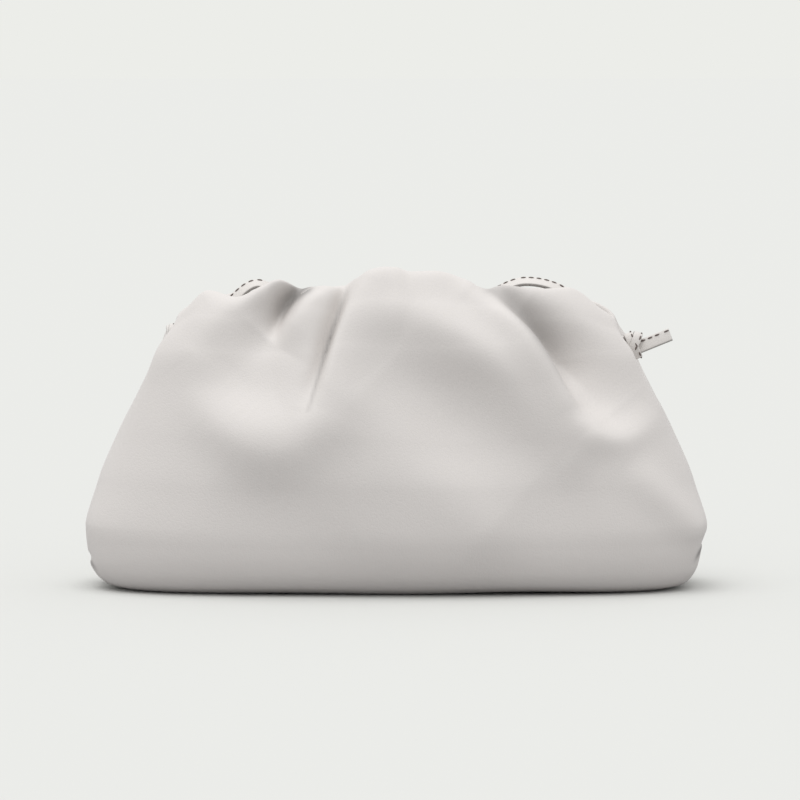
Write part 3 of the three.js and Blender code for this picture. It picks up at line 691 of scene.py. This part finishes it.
def band_stitches(points, lean):
    """Places of the stitches, one row along the upper edge of each face of a band."""
    along, up, front = band_frames(points, lean)
    travel = np.concatenate([[0], np.cumsum(np.linalg.norm(np.diff(points, axis=0), axis=1))])
    stops = np.arange(STITCH_PITCH / 2, travel[-1] - STITCH_PITCH / 3, STITCH_PITCH)
    spots = np.searchsorted(travel, stops)
    places = []
    for face in (-1, 1):
        middle = points + up * (STRAP_WIDTH / 2 - STITCH_INSET) + front * face * STRAP_THICKNESS / 2
        places += [(middle[i], along[i], up[i], front[i]) for i in spots]
    return places


def knot_turns(centre, turn_tilt):
    """Two crossed turns of the strap round a knot's filled middle, and their stitches."""
    pieces, places = [], []
    wide, thick = band_section(TURN_WIDTH, STRAP_THICKNESS)
    angle = np.linspace(0, 2 * np.pi, TURN_POINTS, endpoint=False)[:, None]
    out = np.concatenate([0 * angle, np.cos(angle), np.sin(angle)], axis=1)
    for way, grown in ((-1, 0), (1, TURN_SPREAD)):
        radius = np.array([0, KNOT_DEPTH, KNOT_HEIGHT]) / 2 - STRAP_THICKNESS / 2 + grown
        line = out * radius
        across = np.array([1, 0, 0])
        turn = np.array(Matrix.Rotation(way * turn_tilt, 3, "Y"))
        rings = line[:, None] + across * wide[:, None] + out[:, None] * thick[:, None]
        pieces.append(tube_piece("turn", rings @ turn.T + centre, edge_shade_and_paint(wide), loop=True))
        along = unit(np.roll(line, -1, axis=0) - np.roll(line, 1, axis=0))
        row = line + across * (TURN_WIDTH / 2 - TURN_STITCH_INSET) + out * STRAP_THICKNESS / 2
        places += [(row[i] @ turn.T + centre, along[i] @ turn.T, turn @ across, out[i] @ turn.T)
                   for i in range(0, TURN_POINTS, TURN_POINTS // TURN_STITCHES)]
    return pieces, places


def stitch_piece(name, places):
    """One small thread stitch at each place: its middle and its directions along, across and out."""
    deselect()
    bpy.ops.mesh.primitive_uv_sphere_add(segments=8, ring_count=6, radius=0.5)
    thread = bpy.context.object
    thread.name = name
    one = len(thread.data.vertices)
    repeat = thread.modifiers.new("repeat", "ARRAY")
    repeat.count = len(places)
    bpy.ops.object.modifier_apply(modifier=repeat.name)
    shape = vertices(thread)[:one]
    size = np.array([STITCH_LENGTH, STITCH_THICKNESS, STITCH_THICKNESS])
    spots = [middle + shape * size @ np.array([along, across, out])
             for middle, along, across, out in places]
    move_vertices(thread, np.vstack(spots))
    return thread


def make_strap():
    """The strap from knot to knot, with its tails, knots and stitches."""
    scale = np.array([HALF_WIDTH, HALF_DEPTH, BAG_HEIGHT])
    shift = np.array([0, mouth_middle(), 0])
    knots = [np.array(row[1:4]) * scale + shift for row in KNOTS]
    route = [np.array(row[1:4]) * scale + shift for row in STRAP_ROUTE]
    slits = [np.array([end * reach, 0, STRAP_HEIGHT]) + shift
             for end, reach in ((-1, MOUTH_HALF), (-1, MOUTH_HALF - SLIT_RUN),
                                (1, MOUTH_HALF - SLIT_RUN), (1, MOUTH_HALF))]
    run = smooth_route([knots[0], *slits[:2], *route, *slits[2:], knots[1]])
    lean_start = MOUTH_HALF - SLIT_RUN
    inside = smoothstep(np.abs(run[:, 0]), lean_start, lean_start - LEAN_RUN)
    pieces = [band(run, STRAP_LEAN * inside)]
    places = band_stitches(run, STRAP_LEAN * inside)
    for centre, (_, _, _, _, tail, tail_way, turn_tilt, lean) in zip(knots, KNOTS):
        way = unit(np.array(tail_way, float))
        start = centre - np.array([0, 0, TAIL_DROP])
        line = smooth_route([start, start + way * tail])
        turns, turn_places = knot_turns(centre, turn_tilt)
        bpy.ops.mesh.primitive_uv_sphere_add(segments=24, ring_count=12, radius=1)
        core = bpy.context.object
        size = np.array([CORE_REACH, (KNOT_DEPTH - STRAP_THICKNESS) / 2, (KNOT_HEIGHT - STRAP_THICKNESS) / 2])
        move_vertices(core, vertices(core) * size + centre)
        pieces += [band(line, lean), *turns, core]
        places += band_stitches(line, lean) + turn_places
    strap = joined("strap_leather", pieces)
    smooth(strap, STRAP_EDGE_ANGLE)
    finish_piece(strap, "strap", leather("strap_leather"))
    thread = stitch_piece("strap_stitches", places)
    smooth(thread)
    finish_piece(thread, "strap", plain("thread", THREAD, THREAD_ROUGHNESS))


def make_mouth_bars():
    """A leather-covered bar with rounded edges in place of each plain one."""
    skin = leather("bar_leather")
    for node in ("front_mouth_bar", "back_mouth_bar"):
        low, high = (np.array(corner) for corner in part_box(node))
        deselect()
        bpy.ops.mesh.primitive_cube_add(size=1)
        bar = bpy.context.object
        bar.name = node + "_cover"
        move_vertices(bar, vertices(bar) * (high - low) + (low + high) / 2)
        edge = bar.modifiers.new("edge", "BEVEL")
        edge.width = BAR_CORNER
        edge.segments = 4
        bpy.ops.object.modifier_apply(modifier=edge.name)
        smooth(bar, CREASE_ANGLE)
        finish_piece(bar, node, skin)


def make_studio():
    """A plain pale floor, a wide soft light from above and an even surround."""
    deselect()
    bpy.ops.mesh.primitive_plane_add(size=FLOOR_SIZE)
    floor = bpy.context.object
    floor.name = "floor"
    paint = bpy.data.materials.new("floor")
    paint.use_nodes = True
    sockets = Sockets(paint.node_tree)
    seen = sockets.node("ShaderNodeBsdfDiffuse", Color=(*FLOOR_PAINT, 1))
    bounce = sockets.node("ShaderNodeBsdfDiffuse", Color=(*FLOOR_BOUNCE, 1))
    path = sockets.node("ShaderNodeLightPath")
    mix = sockets.node("ShaderNodeMixShader", Fac=path.outputs["Is Camera Ray"])
    sockets.put(mix.inputs[1], bounce.outputs[0])
    sockets.put(mix.inputs[2], seen.outputs[0])
    sockets.put(paint.node_tree.nodes["Material Output"].inputs["Surface"], mix.outputs[0])
    floor.data.materials.append(paint)
    bpy.ops.object.light_add(type="SUN", rotation=SUN_TILT)
    sun = bpy.context.object
    sun.data.energy = SUN_STRENGTH
    sun.data.angle = SUN_SPREAD
    world = bpy.data.worlds.new("world")
    bpy.context.scene.world = world
    world.use_nodes = True
    surround = world.node_tree.nodes["Background"]
    surround.inputs["Color"].default_value = (1, 1, 1, 1)
    surround.inputs["Strength"].default_value = SURROUND_STRENGTH
    sockets = Sockets(world.node_tree)
    seen = sockets.node("ShaderNodeBackground", Color=(*BACKDROP, 1))
    path = sockets.node("ShaderNodeLightPath")
    mix = sockets.node("ShaderNodeMixShader", Fac=path.outputs["Is Camera Ray"])
    sockets.put(mix.inputs[1], surround.outputs[0])
    sockets.put(mix.inputs[2], seen.outputs[0])
    sockets.put(world.node_tree.nodes["World Output"].inputs["Surface"], mix.outputs[0])


def make_camera():
    """A long lens a little above the table, straight on to the bag's front."""
    bpy.ops.object.camera_add()
    camera = bpy.context.object
    way = Vector((0, -math.cos(CAMERA_ELEVATION), math.sin(CAMERA_ELEVATION)))
    camera.location = CAMERA_TARGET + way * CAMERA_DISTANCE
    camera.rotation_euler = (math.pi / 2 - CAMERA_ELEVATION, 0, 0)
    camera.data.sensor_width = SENSOR_WIDTH
    camera.data.lens = SENSOR_WIDTH * CAMERA_DISTANCE / PICTURE_WIDTH
    camera.data.clip_end = CAMERA_REACH
    bpy.context.scene.camera = camera


make_panels()
make_strap()
make_mouth_bars()
make_studio()
make_camera()
bpy.context.scene.view_settings.view_transform = "Standard"
